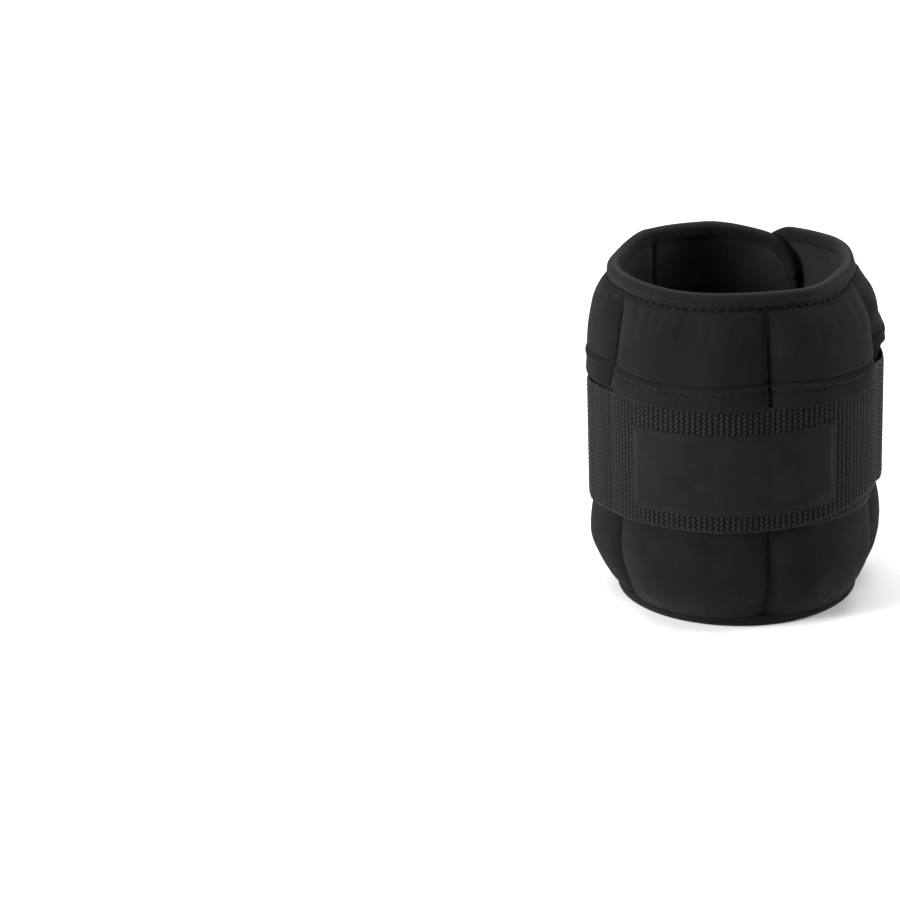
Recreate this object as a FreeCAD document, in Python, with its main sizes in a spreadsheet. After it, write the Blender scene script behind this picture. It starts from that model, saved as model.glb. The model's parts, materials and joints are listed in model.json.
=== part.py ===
import FreeCAD, Part
import math
import os

# Ankle cuff weight, wrapped closed and standing on its lower edge.
# Plan angles run from -Y towards +X, so a plan angle of 90 degrees is on +X.
# Each part of the cuff is a layer: a wedge of a curved shell about a vertical axis.
# Lengths in the sheet are in millimetres. Pitches, sweeps, starts and angles are plan degrees.

SHEET_VALUES = {
    "leg_radius": 46.0,
    "panel_thick": 3.0,
    "cuff_height": 134.5,
    "pocket_pitch": 73.5,
    "wrap_pitch": 63.8,
    "wrap_shift": 7.0,
    "first_seam": -133.5,
    "wrap_start": 87.0,
    "inner_end_sweep": 75.9,
    "outer_end_sweep": 11.0,
    "seam_gap": 0.4,
    "hinge_depth": 3.2,
    "side_gap": 0.3,
    "binding_tall": 4.0,
    "binding_proud": 1.2,
    "end_tape": 3.0,
    "pocket_base": 6.0,
    "pocket_top": 118.5,
    "pocket_swell": 6.0,
    "pocket_valley": 1.6,
    "pocket_cloth": 1.5,
    "bag_film": 0.4,
    "bag_inset": 2.0,
    "lower_swell": 4.0,
    "lower_swell_top": 38.0,
    "belly_rise": 3.0,
    "belly_sink": 1.0,
    "belly_valley": 0.5,
    "strap_base": 42.5,
    "strap_wide": 50.0,
    "strap_thick": 1.2,
    "strap_gap": 0.3,
    "hem_base": 92.9,
    "flap_shoulder": 110.5,
    "flap_thick": 1.4,
    "flap_top": 130.5,
    "flap_neck": 0.8,
    "label_sweep": 79.0,
    "label_tall": 32.0,
    "label_rise": 7.5,
    "label_thick": 0.6,
    "tip_start": -78.0,
    "tip_sweep": 20.0,
    "tip_gap": 0.5,
    "hook_thick": 0.6,
    "hook_inset": 2.0,
    "ring_wire": 3.0,
    "ring_inside_tall": 52.0,
    "ring_inside_wide": 9.0,
    "ring_corner": 3.0,
    "ring_radius": 60.0,
    "ring_angle": -117.0,
    "tab_sweep": 15.2,
    "tab_low": 0.66,
    "tab_high": 2.1,
    "turn_start": 4.0,
    "turn_spread": 1.0,
    "tack_proud": 0.25,
    "tack_start": 5.0,
    "tack_sweep": 1.4,
    "tack_inset": 3.0,
    "tack_tall": 6.0,
}

doc = FreeCAD.newDocument("ankle_cuff_weight")
sheet = doc.addObject("Spreadsheet::Sheet", "Sizes")
for row, (alias, value) in enumerate(SHEET_VALUES.items(), start=1):
    sheet.set(f"A{row}", alias)
    sheet.set(f"B{row}", str(value))
    sheet.setAlias(f"B{row}", alias)
doc.recompute()

SUB_PARTS = []


def cell(alias):
    """The number in one cell of the sheet, for shapes that no primitive makes."""
    return float(sheet.get(alias))


def size(text):
    """A sheet expression: each alias in the text becomes Sizes.alias."""
    words = []
    for word in text.replace("(", "( ").replace(")", " )").split():
        words.append(f"Sizes.{word}" if word in SHEET_VALUES else word)
    return " ".join(words)


def bind(item, **expressions):
    """Binds properties of a document object to sheet expressions."""
    for name, text in expressions.items():
        item.setExpression(name.replace("__", "."), size(text))


def keep(item, label):
    """Marks a document object as a sub-part that is written to its own file."""
    item.Label = label
    SUB_PARTS.append(item)
    return item


class Seat:
    """Where a segment sits: its plan start angle, sweep, and how far the wrap has stepped outwards."""

    def __init__(self, start, sweep, stepped):
        self.start = start
        self.sweep = sweep
        self.stepped = stepped

    def face(self, outwards):
        """Radius of a face this far outside the lining's inner face."""
        base = "leg_radius + wrap_shift" if self.stepped else "leg_radius"
        return f"( {base} + {outwards} )"

    def centre(self):
        """Plan position of the segment's axis."""
        shift = "wrap_shift" if self.stepped else "0"
        return f"( 0 - {shift} * sin( wrap_start ) )", f"( {shift} * cos( wrap_start ) )"

    def place(self, item, low, turn, slide="0"):
        """Puts a primitive on the segment's axis, slid outwards along the segment's middle."""
        middle = f"( {self.start} + ( {self.sweep} ) / 2 )"
        centre_x, centre_y = self.centre()
        bind(
            item,
            Placement__Base__x=f"{centre_x} + {slide} * sin( {middle} )",
            Placement__Base__y=f"{centre_y} - {slide} * cos( {middle} )",
            Placement__Base__z=low,
            Placement__Rotation__Angle=turn,
        )


SEGMENT_COUNT = 5
PLAIN_COUNT = 3

SEATS = []
for index in range(SEGMENT_COUNT):
    if index < PLAIN_COUNT:
        SEATS.append(Seat(f"( first_seam + {index} * pocket_pitch )", "pocket_pitch", False))
    else:
        steps = index - PLAIN_COUNT
        SEATS.append(Seat(f"( wrap_start + {steps} * wrap_pitch )", "wrap_pitch", True))
INNER_SEAT = Seat("( first_seam - inner_end_sweep )", "inner_end_sweep", False)
OUTER_SEAT = Seat("( wrap_start + 2 * wrap_pitch )", "outer_end_sweep", True)


def upright(seat, name, low, tall, radius, top_radius=None, slide="0"):
    """A vertical cylinder, or a cone when the radius changes with height."""
    kind = "Part::Cylinder" if top_radius is None else "Part::Cone"
    item = doc.addObject(kind, name)
    seat.place(item, low, "0", slide)
    if top_radius is None:
        bind(item, Radius=radius, Height=tall)
    else:
        bind(item, Radius1=radius, Radius2=top_radius, Height=tall)
    return item


def wedge(seat, name, low, tall, start_trim, end_trim):
    """A pie slice about the segment's axis, larger than any layer, trimmed in degrees at both ends."""
    item = doc.addObject("Part::Cylinder", name)
    item.Placement = FreeCAD.Placement(FreeCAD.Vector(), FreeCAD.Rotation(FreeCAD.Vector(0, 0, 1), 1))
    seat.place(item, low, f"{seat.start} + {start_trim} - 90")
    bind(item, Radius="leg_radius * 2", Height=tall)
    bind(item, Angle=f"{seat.sweep} - ( {start_trim} ) - ( {end_trim} )")
    return item


def parallel_slice(seat, name, low, tall):
    """A box square to the segment's chord, which keeps neighbours apart when the cuff lies flat."""
    item = doc.addObject("Part::Box", name)
    item.Placement = FreeCAD.Placement(FreeCAD.Vector(), FreeCAD.Rotation(FreeCAD.Vector(0, 0, 1), 1))
    middle = f"( {seat.start} + ( {seat.sweep} ) / 2 )"
    half = f"( {seat.face('hinge_depth')} * sin( ( {seat.sweep} ) / 2 ) - side_gap )"
    depth = "( leg_radius * 2 )"
    seat.place(item, low, middle)
    centre_x, centre_y = seat.centre()
    bind(
        item,
        Length=f"2 * {half}",
        Width=depth,
        Height=tall,
        Placement__Base__x=f"{centre_x} + {depth} * sin( {middle} ) - {half} * cos( {middle} )",
        Placement__Base__y=f"{centre_y} - {depth} * cos( {middle} ) - {half} * sin( {middle} )",
    )
    return item


def crown_slide(seat, crown, valley):
    """How far the arc through a crown and two seam valleys has its centre outside the segment's axis."""
    high = seat.face(crown)
    low = seat.face(valley)
    half = f"cos( ( {seat.sweep} ) / 2 )"
    return f"( ( {high} ^ 2 - {low} ^ 2 ) / ( 2 * ( {high} - {low} * {half} ) ) )"


def crown_solid(seat, name, low, tall, crown, valley, neck=None):
    """A full cylinder or cone whose face swells from the seam valleys to the crown of a pocket."""
    slide = crown_slide(seat, crown, valley)
    radius = f"( {seat.face(crown)} - {slide} )"
    top = None if neck is None else f"( {radius} - ( {crown} - ( {neck} ) ) )"
    return upright(seat, name, low, tall, radius, top, slide)


def join(kind, name, *items):
    """A boolean of two or more solids."""
    item = doc.addObject(kind, name)
    if kind == "Part::Cut":
        item.Base, item.Tool = items
    else:
        item.Shapes = list(items)
    return item


def shell(seat, name, low, tall, outer, inner, start_trim="seam_gap", end_trim="seam_gap"):
    """The wedge of space between an inner and an outer solid."""
    cuts = [
        join("Part::Cut", f"{name}_slab", outer, inner),
        wedge(seat, f"{name}_wedge", low, tall, start_trim, end_trim),
    ]
    if seat in SEATS:
        cuts.append(parallel_slice(seat, f"{name}_slice", low, tall))
    return join("Part::MultiCommon", name, *cuts)


def plain_layer(seat, name, low, tall, inner, outer, start_trim="seam_gap", end_trim="seam_gap"):
    """A layer of even thickness, such as a panel or an edge tape."""
    inside = upright(seat, f"{name}_inner", low, tall, seat.face(inner))
    outside = upright(seat, f"{name}_outer", low, tall, seat.face(outer))
    return shell(seat, name, low, tall, outside, inside, start_trim, end_trim)


def crowned_layer(seat, name, low, tall, inner, outer, start_trim="seam_gap", end_trim="seam_gap"):
    """A layer that follows a pocket. inner and outer are (crown, valley) heights over the lining."""
    inside = crown_solid(seat, f"{name}_inner", low, tall, *inner)
    outside = crown_solid(seat, f"{name}_outer", low, tall, *outer)
    return shell(seat, name, low, tall, outside, inside, start_trim, end_trim)


def strap_faces(level, thick="strap_thick"):
    """Inner and outer (crown, valley) heights of a webbing layer lying this far over the pocket cloth."""
    crown = f"panel_thick + pocket_swell + {level}"
    valley = f"panel_thick + pocket_valley + {level}"
    return (crown, valley), (f"{crown} + {thick}", f"{valley} + {thick}")


TAIL_LEVEL = "strap_thick + strap_gap"
TIP_LEVEL = f"{TAIL_LEVEL} + hook_thick"
LABEL_LEVEL = f"{TAIL_LEVEL} + strap_thick"
BODY_TALL = "cuff_height - 2 * binding_tall"


def back_panel(seat, label):
    """The padded panel against the leg."""
    layer = plain_layer(seat, label, "binding_tall", BODY_TALL, "0", "panel_thick")
    return keep(layer, label)


def edge_binding(seat, label, proud="binding_proud", end=None):
    """Folded tape along the panel's top and bottom edges, and up a free end."""
    start_trim = "( 0 - end_tape )" if end == "start" else "seam_gap"
    end_trim = "( 0 - end_tape )" if end == "finish" else "seam_gap"
    outer = f"panel_thick + {proud}"
    rim_low = "cuff_height - binding_tall"
    parts = [
        plain_layer(seat, f"{label}_rim", rim_low, "binding_tall", "0", outer, start_trim, end_trim),
        plain_layer(seat, f"{label}_foot", "0", "binding_tall", "0", outer, start_trim, end_trim),
    ]
    whole = f"{seat.sweep} - seam_gap"
    if end == "start":
        trims = (start_trim, whole)
        parts.append(plain_layer(seat, f"{label}_end", "binding_tall", BODY_TALL, "0", outer, *trims))
    if end == "finish":
        trims = (whole, end_trim)
        parts.append(plain_layer(seat, f"{label}_end", "binding_tall", BODY_TALL, "0", outer, *trims))
    return keep(join("Part::MultiFuse", label, *parts), label)


def pocket_outline(seat, name, low, tall, cloth, inset):
    """Solid outline of a pocket, or of the bag inside it, drawn in by cloth thickness and end inset."""
    crown = (f"panel_thick + pocket_swell - {cloth}", f"panel_thick + pocket_valley - {cloth}")
    inside = upright(seat, f"{name}_inner", low, tall, seat.face("panel_thick"))
    outside = crown_solid(seat, f"{name}_outer", low, tall, *crown)
    return shell(seat, name, low, tall, outside, inside, inset, inset)


def pocket(seat, label, bag_block):
    """Front cloth of a pocket, which swells a little more below the strap."""
    tall = "pocket_top - pocket_base"
    body = pocket_outline(seat, f"{label}_body", "pocket_base", tall, "0", "seam_gap")
    belly_low = "( pocket_base + belly_rise )"
    belly_tall = f"lower_swell_top - {belly_low}"
    belly = crowned_layer(
        seat,
        f"{label}_belly",
        belly_low,
        belly_tall,
        ("panel_thick + pocket_swell - belly_sink", "panel_thick + pocket_valley - belly_sink"),
        ("panel_thick + pocket_swell + lower_swell", "panel_thick + pocket_valley + belly_valley"),
    )
    block = join("Part::MultiFuse", f"{label}_block", body, belly)
    return keep(join("Part::Cut", label, block, bag_block), label)


def weight_bag(seat, label, fill_label):
    """The sealed bag of metal grit in a pocket: film and filling."""
    low = "pocket_base + pocket_cloth"
    tall = "pocket_top - pocket_base - 2 * pocket_cloth"
    film = "( pocket_cloth + bag_film )"
    block = pocket_outline(seat, f"{label}_block", low, tall, "pocket_cloth", "bag_inset")
    fill_low = f"{low} + bag_film"
    fill_tall = f"{tall} - 2 * bag_film"
    crown = (f"panel_thick + pocket_swell - {film}", f"panel_thick + pocket_valley - {film}")
    inside = upright(seat, f"{fill_label}_inner", fill_low, fill_tall, seat.face("panel_thick + bag_film"))
    outside = crown_solid(seat, f"{fill_label}_outer", fill_low, fill_tall, *crown)
    inset = "bag_inset + bag_film"
    fill = shell(seat, fill_label, fill_low, fill_tall, outside, inside, inset, inset)
    keep(fill, fill_label)
    keep(join("Part::Cut", label, block, fill), label)
    return block


def pocket_flap(seat, label):
    """Upper cloth of a pocket: it slopes down from the rim and ends in a hem at the strap."""
    level = "2 * strap_thick + 2 * strap_gap + flap_thick"
    outer = (f"panel_thick + pocket_swell + {level}", f"panel_thick + pocket_valley + {level}")
    inner = ("panel_thick + pocket_swell", "panel_thick + pocket_valley")
    wall_tall = "flap_shoulder - hem_base"
    wall = crowned_layer(seat, f"{label}_wall", "hem_base", wall_tall, inner, outer)
    slope_tall = "flap_top - flap_shoulder"
    neck = "panel_thick + binding_proud + flap_neck"
    cone = crown_solid(seat, f"{label}_cone", "flap_shoulder", slope_tall, *outer, neck=neck)
    core_tall = "pocket_top - flap_shoulder"
    core = crown_solid(seat, f"{label}_core", "flap_shoulder", core_tall, *inner)
    panel = upright(seat, f"{label}_panel", "flap_shoulder", slope_tall, seat.face("panel_thick"))
    void = join("Part::MultiFuse", f"{label}_void", core, panel)
    slope = shell(seat, f"{label}_slope", "flap_shoulder", slope_tall, cone, void)
    return keep(join("Part::MultiFuse", label, wall, slope), label)


def webbing(seat, label, level, start_trim="seam_gap", end_trim="seam_gap"):
    """One length of the strap over a pocket."""
    inner, outer = strap_faces(level)
    layer = crowned_layer(seat, label, "strap_base", "strap_wide", inner, outer, start_trim, end_trim)
    return keep(layer, label)


def flat_layer(seat, label, low, tall, level, thick, start_trim, end_trim):
    """A patch on the strap."""
    inner, outer = strap_faces(level, thick)
    return keep(crowned_layer(seat, label, low, tall, inner, outer, start_trim, end_trim), label)


def seam_tacks(seat, label):
    """Two bar tacks that fasten the strap beside a pocket seam."""
    tacks = []
    inner, outer = strap_faces("strap_thick", "tack_proud")
    trims = ("tack_start", f"{seat.sweep} - tack_start - tack_sweep")
    lows = ("strap_base + tack_inset", "strap_base + strap_wide - tack_inset - tack_tall")
    for place, low in enumerate(lows):
        tacks.append(crowned_layer(seat, f"{label}_{place}", low, "tack_tall", inner, outer, *trims))
    return keep(join("Part::MultiFuse", label, *tacks), label)


def ring_wire(label):
    """Rectangular ring of round wire with rounded corners, standing on the first pocket."""
    wire = cell("ring_wire") / 2
    corner = cell("ring_corner")
    half_wide = cell("ring_inside_wide") / 2 + wire
    half_tall = cell("ring_inside_tall") / 2 + wire
    straight_wide = half_wide - corner
    straight_tall = half_tall - corner
    points = []
    for side_x, side_z in ((1, 1), (-1, 1), (-1, -1), (1, -1)):
        first = FreeCAD.Vector(side_x * half_wide, 0, side_z * straight_tall)
        bend = corner * math.sqrt(0.5)
        middle = FreeCAD.Vector(
            side_x * (straight_wide + bend), 0, side_z * (straight_tall + bend)
        )
        last = FreeCAD.Vector(side_x * straight_wide, 0, side_z * half_tall)
        ends = [first, middle, last] if side_x * side_z > 0 else [last, middle, first]
        points.append(ends)
    edges = []
    for place, (start, middle, stop) in enumerate(points):
        edges.append(Part.Arc(start, middle, stop).toShape())
        following = points[(place + 1) % len(points)][0]
        edges.append(Part.LineSegment(stop, following).toShape())
    path = Part.Wire(edges)
    profile = Part.Wire([Part.Circle(points[0][0], FreeCAD.Vector(0, 0, 1), wire).toShape()])
    ring = doc.addObject("Part::Feature", label)
    ring.Shape = path.makePipeShell([profile], True, True)
    ring.Placement = FreeCAD.Placement(
        plan_point(cell("ring_radius"), cell("ring_angle"), cell("strap_base") + cell("strap_wide") / 2),
        FreeCAD.Rotation(FreeCAD.Vector(0, 0, 1), cell("ring_angle")),
    )
    return keep(ring, label)


def plan_point(radius, angle, height=0.0):
    """A point at a plan angle in degrees."""
    turn = math.radians(angle)
    return FreeCAD.Vector(radius * math.sin(turn), -radius * math.cos(turn), height)


def band(label, centre_line, thick):
    """Webbing bent along a plan line of (start, middle, stop) arcs and (start, stop) runs."""
    edges = []
    for piece in centre_line:
        if len(piece) == 2:
            edges.append(Part.LineSegment(*piece).toShape())
        else:
            edges.append(Part.Arc(*piece).toShape())
    outline = Part.Wire(edges).makeOffset2D(thick / 2)
    item = doc.addObject("Part::Feature", label)
    item.Shape = Part.Face(outline).extrude(FreeCAD.Vector(0, 0, cell("strap_wide")))
    item.Placement = FreeCAD.Placement(FreeCAD.Vector(0, 0, cell("strap_base")), FreeCAD.Rotation())
    return keep(item, label)


def loop_line(bar, reach, tip_in, tip_out):
    """Plan line from one strap layer round a bar and back to the other layer."""
    away = (bar - (tip_in + tip_out) * 0.5).normalize()
    across = FreeCAD.Vector(-away.y, away.x, 0)
    if across.dot(tip_out - tip_in) < 0:
        across = -across
    low = bar - across * reach
    high = bar + across * reach
    crest = bar + away * reach
    return [(tip_in, low), (low, crest, high), (high, tip_out)]


def wrap_point(outwards, turn):
    """A point of the stepped wrap at this angle about its own axis, this far over its lining."""
    centre = plan_point(-cell("wrap_shift"), cell("wrap_start"))
    return centre + plan_point(cell("leg_radius") + cell("wrap_shift") + outwards, turn)


def bar_point(side):
    """Plan point of one of the ring's upright bars."""
    offset = cell("ring_inside_wide") / 2 + cell("ring_wire") / 2
    turn = math.radians(cell("ring_angle"))
    along = FreeCAD.Vector(math.cos(turn), math.sin(turn), 0)
    return plan_point(cell("ring_radius"), cell("ring_angle")) + along * (side * offset)


def strap_turn(label):
    """The strap from the outer end, round the ring's free bar and back over the outer end."""
    thick = cell("strap_thick")
    finish = cell("wrap_start") + 2 * cell("wrap_pitch") + cell("outer_end_sweep")
    start = finish + cell("turn_start")
    inner_height = cell("panel_thick") + cell("binding_proud") + thick / 2
    outer_height = inner_height + thick + cell("turn_spread")
    tip_in = wrap_point(inner_height, start)
    tip_out = wrap_point(outer_height, start)
    reach = cell("ring_wire") / 2 + cell("strap_gap") + thick / 2
    return band(label, loop_line(bar_point(-1), reach, tip_in, tip_out), thick)


def ring_tab(label):
    """Webbing tab that holds the ring's other bar and is sewn down on the first pocket."""
    thick = cell("strap_thick")
    reach = cell("ring_wire") / 2 + cell("strap_gap") + thick / 2
    bar = bar_point(1)
    sewn_angle = cell("ring_angle") + cell("tab_sweep")
    seat_radius = cell("leg_radius") + cell("panel_thick") + cell("pocket_swell") + thick
    tip_in = plan_point(seat_radius + cell("tab_low"), sewn_angle)
    tip_out = plan_point(seat_radius + cell("tab_high"), sewn_angle)
    return band(label, loop_line(bar, reach, tip_in, tip_out), thick)


def outer_end_strap(seat):
    """Both strap layers over the pocketless outer end."""
    level = "panel_thick + binding_proud"
    trims = ("seam_gap", "( 0 - end_tape )")
    over = f"{level} + strap_thick"
    keep(
        plain_layer(seat, "base_strap_outer_end", "strap_base", "strap_wide", level, over, *trims),
        "base_strap_outer_end",
    )
    low = f"{over} + 2 * strap_gap"
    keep(
        plain_layer(
            seat, "tail_strap_outer_end", "strap_base", "strap_wide", low, f"{low} + strap_thick", *trims
        ),
        "tail_strap_outer_end",
    )


def build_segments():
    """Panel, tape, pocket, bag, filling, flap and base strap of each of the five segments."""
    for index, seat in enumerate(SEATS, start=1):
        back_panel(seat, f"back_panel_{index}")
        edge_binding(seat, f"edge_binding_{index}")
        block = weight_bag(seat, f"weight_bag_{index}", f"weight_fill_{index}")
        pocket(seat, f"pocket_{index}", block)
        pocket_flap(seat, f"pocket_flap_{index}")
        webbing(seat, f"base_strap_{index}", "0")
        if index > 1:
            seam_tacks(seat, f"seam_tacks_{index}")


def build_ends():
    """The two pocketless ends of the cuff."""
    back_panel(INNER_SEAT, "inner_end_panel")
    edge_binding(INNER_SEAT, "edge_binding_inner_end", "0", "start")
    back_panel(OUTER_SEAT, "outer_end_panel")
    edge_binding(OUTER_SEAT, "edge_binding_outer_end", "binding_proud", "finish")
    outer_end_strap(OUTER_SEAT)


def build_tail():
    """The free strap, folded back round the cuff, with its tip, hook patch and label."""
    for index in range(2, SEGMENT_COUNT + 1):
        webbing(SEATS[index - 1], f"tail_strap_{index}", TAIL_LEVEL)
    first = SEATS[0]
    root_trim = f"tip_start - ( {first.start} )"
    webbing(first, "tail_strap_1", TAIL_LEVEL, root_trim, "seam_gap")
    tip_trims = (f"{root_trim} - tip_sweep", f"{first.sweep} - ( {root_trim} ) + tip_gap")
    webbing(first, "strap_tip", TIP_LEVEL, *tip_trims)
    flat_layer(
        first, "hook_patch", "strap_base + hook_inset", "strap_wide - 2 * hook_inset",
        TAIL_LEVEL, "hook_thick", *tip_trims,
    )
    label_low = "strap_base + label_rise"
    half = "label_sweep / 2"
    left, right = SEATS[1], SEATS[2]
    flat_layer(
        left, "label_left", label_low, "label_tall", LABEL_LEVEL, "label_thick",
        f"0 - {half} - ( {left.start} )", "seam_gap",
    )
    flat_layer(
        right, "label_right", label_low, "label_tall", LABEL_LEVEL, "label_thick",
        "seam_gap", f"{right.start} + {right.sweep} - {half}",
    )


def check_document():
    """Stops the build when an object failed or a sub-part has no sound shape."""
    for item in doc.Objects:
        if "Invalid" in item.State or "Error" in item.State:
            raise RuntimeError(f"{item.Label} failed to build")
    for item in SUB_PARTS:
        if item.Shape.isNull() or not item.Shape.isValid() or not item.Shape.Solids:
            raise RuntimeError(f"{item.Label} has no sound shape")


build_segments()
build_ends()
build_tail()
ring_wire("ring")
ring_tab("ring_tab")
strap_turn("strap_turn")
doc.recompute()
check_document()

os.makedirs("parts", exist_ok=True)
for item in SUB_PARTS:
    item.Shape.exportStep(f"parts/{item.Label}.step")
    print(item.Label, len(item.Shape.Solids), round(item.Shape.Volume / 1000, 2), "cm3")
print(len(SUB_PARTS), "sub-parts")
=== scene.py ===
import math

import bpy
import numpy as np
from mathutils import Matrix, Vector
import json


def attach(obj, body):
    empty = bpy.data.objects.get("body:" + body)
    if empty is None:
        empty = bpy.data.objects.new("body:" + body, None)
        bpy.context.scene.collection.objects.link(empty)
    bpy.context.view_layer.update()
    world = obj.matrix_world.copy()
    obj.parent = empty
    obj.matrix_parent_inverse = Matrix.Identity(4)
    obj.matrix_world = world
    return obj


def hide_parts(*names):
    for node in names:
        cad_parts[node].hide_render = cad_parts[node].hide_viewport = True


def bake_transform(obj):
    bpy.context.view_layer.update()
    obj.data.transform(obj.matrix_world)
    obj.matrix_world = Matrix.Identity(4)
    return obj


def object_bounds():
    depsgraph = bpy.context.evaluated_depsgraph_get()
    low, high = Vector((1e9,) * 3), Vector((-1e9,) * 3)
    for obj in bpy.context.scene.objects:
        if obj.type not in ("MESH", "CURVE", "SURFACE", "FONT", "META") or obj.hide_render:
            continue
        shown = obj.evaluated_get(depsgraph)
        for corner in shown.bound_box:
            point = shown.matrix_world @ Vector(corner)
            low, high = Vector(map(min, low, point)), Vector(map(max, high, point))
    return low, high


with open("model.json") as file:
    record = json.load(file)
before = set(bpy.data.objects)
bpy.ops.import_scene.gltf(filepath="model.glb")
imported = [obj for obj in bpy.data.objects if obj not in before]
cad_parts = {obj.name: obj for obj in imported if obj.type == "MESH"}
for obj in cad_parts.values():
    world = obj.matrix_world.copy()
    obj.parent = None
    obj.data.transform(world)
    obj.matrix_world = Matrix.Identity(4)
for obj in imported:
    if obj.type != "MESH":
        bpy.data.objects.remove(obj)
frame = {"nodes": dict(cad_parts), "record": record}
CAD_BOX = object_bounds()

# ------------------------------------------------------------------ sizes, in millimetres
MM = 0.001
LEG = next(m["dims"]["r_mm"] for m in frame["record"]["mounts"] if m["name"] == "leg_opening")
HEIGHT = CAD_BOX[1][2] / MM
STEP = 7.0                  # how far the outer lap steps out
STEP_FROM = 87.0            # plan angle where the outer lap starts
PLAIN_PITCH = 73.5          # degrees from seam to seam
LAP_PITCH = 63.8
FIRST_SEAM = -133.5
INNER_REACH = 78.9          # degrees that the free ends run past the outermost seams
OUTER_REACH = 14.0
SEAMS = [FIRST_SEAM + k * PLAIN_PITCH for k in range(4)]
SEAMS += [STEP_FROM + k * LAP_PITCH for k in (1, 2)]
INNER_TIP = FIRST_SEAM - INNER_REACH
OUTER_TIP = SEAMS[-1] + OUTER_REACH
STRAP_END = OUTER_TIP + 1.0         # where the straps leave the wall for the ring
MIDDLES = [(a + b) / 2 for a, b in zip(SEAMS, SEAMS[1:])]
LAP_CREASE = 77.0           # the cloth's crease at the outer lap is drawn forward of its seam
CREASES = [LAP_CREASE if turn == STEP_FROM else turn for turn in SEAMS]
BODIES = ["inner_end"] + [f"segment_{k}" for k in range(1, 6)] + ["outer_end"]
BANDS = range(len(BODIES) - 1)      # a band bends across one seam, from one body to the next
BAND_ENDS = list(zip([INNER_TIP] + MIDDLES, MIDDLES + [OUTER_TIP]))
LAST_BAND = BANDS[-1]

PANEL = 3.0                 # padded panel against the leg
POCKET_DEPTH = 10.0         # where lengths along the wall are measured
STRAP_LOW = 42.5
STRAP_WIDE = 50.0
STRAP_THICK = 1.2
INNER_ROUND = 16.0          # rounded corners of the free ends
OUTER_ROUND = 9.0
TIP_START = -98.0           # the strap's tip, which peels from its root on
TIP_ROOT = -78.0
TIP_OVERLAP = 4.0           # degrees that the tip's webbing runs on past the root
RING_WIRE = 1.5             # radius of the ring's wire
RING_TURN = -117            # plan angle of the ring
TAPE_WIDE = 18.0            # edge tape, laid flat
BAG_LOW, BAG_HIGH = 9.0, 112.0
BAG_GAP = 2.4               # degrees between a bag and its pocket's seams


# ------------------------------------------------------------------ small maths
def curve(points):
    """A smooth function through (x, y) points: cubic pieces with averaged slopes, flat at turns."""
    xs, ys = (np.array(v, float) for v in zip(*points))
    rise = np.diff(ys) / np.diff(xs)
    slope = np.concatenate([[rise[0]], (rise[1:] + rise[:-1]) / 2, [rise[-1]]])
    flat = np.concatenate([[False], rise[1:] * rise[:-1] <= 0, [False]])
    slope[flat] = 0

    def value(x):
        x = np.clip(np.asarray(x, float), xs[0], xs[-1])
        k = np.clip(np.searchsorted(xs, x) - 1, 0, len(xs) - 2)
        gap = xs[k + 1] - xs[k]
        t = (x - xs[k]) / gap
        low = (1 + 2 * t) * (1 - t) ** 2 * ys[k] + t * (1 - t) ** 2 * gap * slope[k]
        return low + t * t * (3 - 2 * t) * ys[k + 1] - t * t * (1 - t) * gap * slope[k + 1]

    return value


def smooth(x, low, high):
    """0 below low, 1 above high, eased between."""
    t = np.clip((np.asarray(x, float) - low) / (high - low), 0, 1)
    return t * t * (3 - 2 * t)


def bell(x, width):
    """1 at zero, falling off smoothly over this width on both sides."""
    return np.exp(-((x / width) ** 2))


def ripple(x, y, size, seed):
    """Slow, irregular waviness between about -1 and 1, from a few crossing sines."""
    rng = np.random.default_rng(seed)
    total = np.zeros(np.broadcast(x, y).shape)
    for _ in range(7):
        heading = rng.uniform(0, math.tau)
        pace = math.tau / size * rng.uniform(0.6, 1.6)
        wave = np.cos(heading) * x + np.sin(heading) * y
        total += np.sin(wave * pace + rng.uniform(0, math.tau))
    return total / 3.2


def facing(turn):
    """Plan direction of a plan angle in degrees, measured from -Y towards +X."""
    angle = np.radians(turn)
    return np.stack([np.sin(angle), -np.cos(angle)], -1)


def wrap_centre(turn):
    """Plan centre of the arc that the wall follows at this angle."""
    turn = np.asarray(turn, float)
    return np.where(turn[..., None] > STEP_FROM, -STEP * facing(STEP_FROM), 0.0)


def wrap_point(turn, out):
    """Plan point this far outside the lining's inner face."""
    turn = np.asarray(turn, float)
    radius = LEG + out + np.where(turn > STEP_FROM, STEP, 0.0)
    return wrap_centre(turn) + radius[..., None] * facing(turn)


def at_height(plan, height):
    """3D points from plan points and their heights."""
    return np.concatenate([plan, height[..., None]], -1)


def wrap_length(turn, out=POCKET_DEPTH):
    """Distance along the wall from the front, this far outside the lining."""
    turn = np.asarray(turn, float)
    plain = np.radians(np.minimum(turn, STEP_FROM)) * (LEG + out)
    return plain + np.radians(np.maximum(turn - STEP_FROM, 0)) * (LEG + STEP + out)


def across_pocket(turn):
    """-1 and 1 at a pocket's seams, 0 at its middle, and millimetres to the nearest seam."""
    turn = np.asarray(turn, float)
    creases = np.array(CREASES)
    k = np.clip(np.searchsorted(creases, turn) - 1, 0, len(creases) - 2)
    low, high = creases[k], creases[k + 1]
    place = np.clip(2 * (turn - low) / (high - low) - 1, -1, 1)
    lengths = wrap_length(creases)
    away = np.abs(wrap_length(turn)[..., None] - lengths).min(-1)
    return place, away


# ------------------------------------------------------------------ meshes
def vertex_normals(grid):
    """Normals of a grid of points, columns along the wall and rows round the closed section."""
    along = np.gradient(grid, axis=0)
    around = np.roll(grid, -1, 1) - np.roll(grid, 1, 1)
    normal = np.cross(along, around)
    return normal / np.maximum(np.linalg.norm(normal, axis=-1, keepdims=True), 1e-12)


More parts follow.
